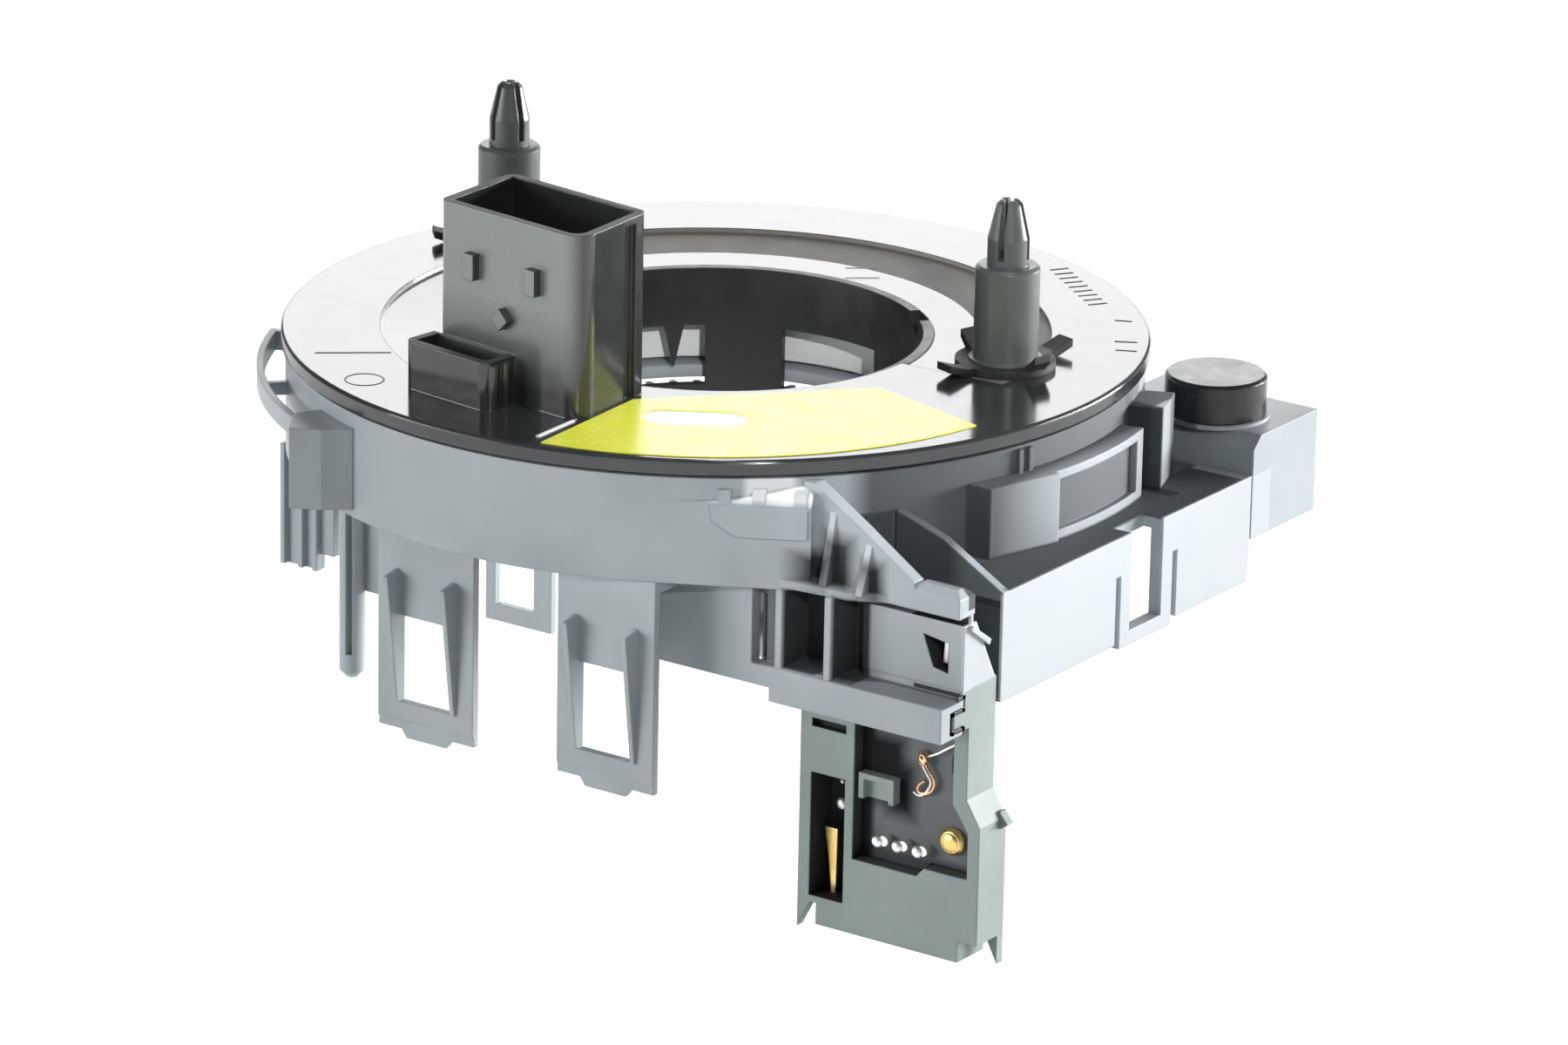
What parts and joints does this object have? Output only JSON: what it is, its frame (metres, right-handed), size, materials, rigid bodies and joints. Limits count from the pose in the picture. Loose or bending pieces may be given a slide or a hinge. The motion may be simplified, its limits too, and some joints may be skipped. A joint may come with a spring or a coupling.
{
  "type": "steering clock spring",
  "caption": "Steering clock spring: a disc with a socket tower and posts turns on a grey drum housing with snap legs, a flange box and a sensor module.",
  "frame": {"origin": "on the steering axis, in the bore of the hub sleeve, level with the underside of the drum", "axes": "+Z along the steering axis towards the steering wheel, +X towards the flange box and the sensor module, -Y towards the two snap legs"},
  "size_m": [0.1095, 0.1009, 0.0773],
  "materials": {
    "black": "gloss",
    "housing_grey": "satin",
    "module_grey": "satin",
    "module_board": "satin",
    "board": "satin",
    "post_grey": "satin",
    "pale_plastic": "satin",
    "ribbon": "gloss",
    "label": "satin",
    "brass": "polished",
    "copper": "polished",
    "tinned": "polished",
    "steel": "satin"
  },
  "bodies": {
    "housing": {"stator_housing": "housing_grey", "base_frame": "housing_grey", "gear_cover": "housing_grey", "sensor_board": "board", "case_screws": "steel", "flat_cable": "ribbon", "cable_guide": "pale_plastic", "module_case": "module_grey", "module_board": "module_board", "board_bracket": "module_grey", "contact_blade": "brass", "contact_rivet": "brass", "contact_pins": "tinned", "lead_tail": "copper", "rear_block": "housing_grey", "harness_terminals": "tinned", "round_cap": "black"},
    "rotor": {"rotor_disc": "black", "hub_sleeve": "black", "spool_ring": "pale_plastic", "drive_gear": "pale_plastic", "sleeve_clip": "steel", "post_right": "post_grey", "post_left": "post_grey", "post_stars": "black", "wheel_terminals": "tinned", "instruction_label": "label", "index_window": "pale_plastic"},
    "measuring_gear_a": {"gear_a": "pale_plastic", "magnet_a": "steel"},
    "measuring_gear_b": {"gear_b": "pale_plastic", "magnet_b": "steel"}
  },
  "joints": [
    {"name": "rotor_turn", "type": "hinge", "parent": "housing", "child": "rotor", "pos_m": [0, 0, 0], "axis": [0, 0, 1], "range_deg": [-900, 900]},
    {"name": "gear_a_spin", "type": "hinge", "parent": "housing", "child": "measuring_gear_a", "pos_m": [0.03688, -0.00129, -0.00325], "axis": [0, 0, 1], "range_deg": [-3210, 3210]},
    {"name": "gear_b_spin", "type": "hinge", "parent": "housing", "child": "measuring_gear_b", "pos_m": [0.03053, -0.01908, -0.00325], "axis": [0, 0, 1], "range_deg": [-3610, 3610]}
  ],
  "couplings": [
    {"joint": "gear_a_spin", "follows": "rotor_turn", "ratio": -3.5556},
    {"joint": "gear_b_spin", "follows": "rotor_turn", "ratio": -4}
  ]
}
